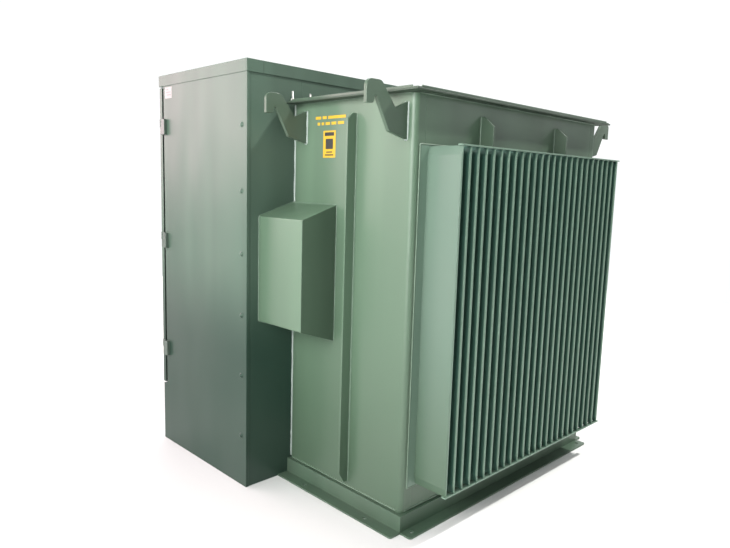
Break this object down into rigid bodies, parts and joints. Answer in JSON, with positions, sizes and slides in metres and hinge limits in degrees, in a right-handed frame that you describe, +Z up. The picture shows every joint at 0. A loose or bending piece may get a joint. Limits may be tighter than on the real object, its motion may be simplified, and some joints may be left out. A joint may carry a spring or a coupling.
{
  "type": "power_transformer",
  "caption": "Green three-phase pad-mounted transformer with a double-door terminal cabinet in front and a finned oil tank behind, on base rails with bolt-down feet",
  "frame": {"origin": "on the ground under the middle of the whole object", "axes": "+X right seen from the doors, +Y towards the cooling fins, +Z up"},
  "size_m": [1.964, 1.701, 1.9],
  "materials": {
    "cabinet_paint": "satin",
    "tank_paint": "satin",
    "fin_paint": "satin",
    "base_paint": "satin",
    "hinge_paint": "satin",
    "handle_metal": "satin"
  },
  "bodies": {
    "housing": {"base_rail_front": "base_paint", "base_rail_left": "base_paint", "base_rail_rear": "base_paint", "base_rail_right": "base_paint", "cabinet_center_post": "cabinet_paint", "cabinet_header": "cabinet_paint", "cabinet_hinges_left": "hinge_paint", "cabinet_hinges_right": "hinge_paint", "cabinet_rear_left": "cabinet_paint", "cabinet_rear_right": "cabinet_paint", "cabinet_rear_top": "cabinet_paint", "cabinet_roof": "cabinet_paint", "cabinet_side_left": "cabinet_paint", "cabinet_side_right": "cabinet_paint", "cabinet_sill": "cabinet_paint", "cooling_fins": "fin_paint", "fin_bar_bottom": "fin_paint", "fin_bar_top": "fin_paint", "fin_panel": "fin_paint", "lifting_hook_front_left": "tank_paint", "lifting_hook_front_right": "tank_paint", "lifting_hook_rear_left": "tank_paint", "lifting_hook_rear_right": "tank_paint", "rear_rib_left": "tank_paint", "rear_rib_right": "tank_paint", "side_housing": "tank_paint", "side_stiffener_left": "tank_paint", "side_stiffener_right": "tank_paint", "tank_cover": "tank_paint", "tank_flange_front": "tank_paint", "tank_flange_left": "tank_paint", "tank_flange_rear": "tank_paint", "tank_flange_right": "tank_paint", "tank_floor": "tank_paint", "tank_front_wall": "tank_paint", "tank_rear_wall": "tank_paint", "tank_side_left": "tank_paint", "tank_side_right": "tank_paint"},
    "right_door": {"door_right": "cabinet_paint", "door_hinges_right": "hinge_paint", "door_handle": "handle_metal"},
    "left_door": {"door_left": "cabinet_paint", "door_hinges_left": "hinge_paint"}
  },
  "joints": [
    {"name": "right_door_hinge", "type": "hinge", "parent": "housing", "child": "right_door", "pos_m": [0.974, -0.788, 1.08], "axis": [0, 0, 1], "range_deg": [0, 120]},
    {"name": "left_door_hinge", "type": "hinge", "parent": "housing", "child": "left_door", "pos_m": [-0.974, -0.788, 1.08], "axis": [0, 0, -1], "range_deg": [0, 120]}
  ]
}
